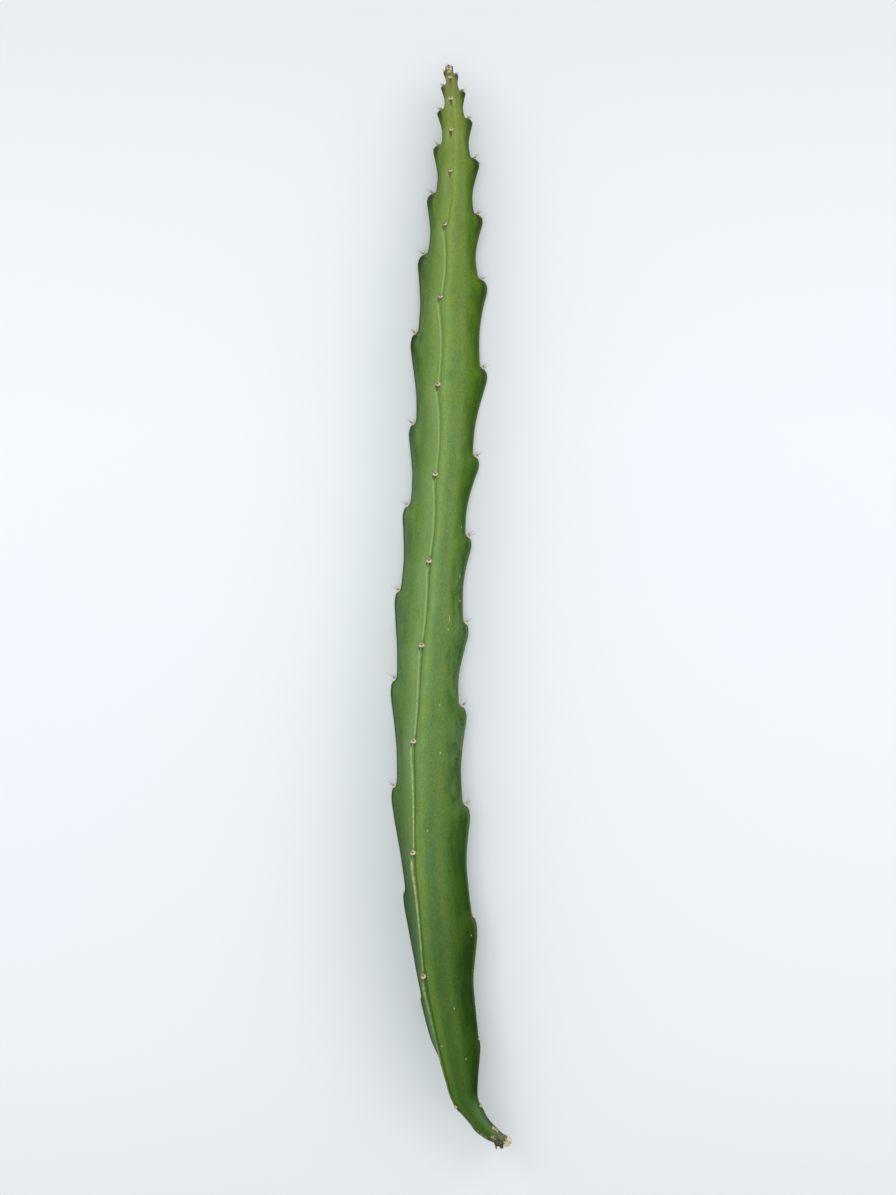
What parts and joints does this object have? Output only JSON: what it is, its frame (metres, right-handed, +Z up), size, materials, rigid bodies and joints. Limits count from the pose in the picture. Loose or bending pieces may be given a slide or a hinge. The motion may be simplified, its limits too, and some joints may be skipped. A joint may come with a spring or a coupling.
{
  "type": "dragon fruit cactus stem",
  "caption": "Cut segment of a ribbed climbing cactus stem with lobed margins, woolly areoles, short spines, a growing tip and a narrow corky base, lying flat.",
  "frame": {"origin": "centre of the bottom of the stem's box, on the surface that it lies on", "axes": "+Y along the stem towards its growing tip, +Z up from the surface, +X to the right with the tip pointing away from the viewer above"},
  "size_m": [0.0533, 0.4563, 0.0316],
  "materials": {
    "cactus_skin": "waxy green plant skin, softly mottled, darker on the lobes' shoulders",
    "areole_wool": "matt felted plant hair, cream to pale brown",
    "spine": "dry satin plant spine, brownish grey",
    "cork": "rough dry corky plant tissue"
  },
  "bodies": {
    "root": {"stem": "cactus_skin"}
  },
  "joints": []
}
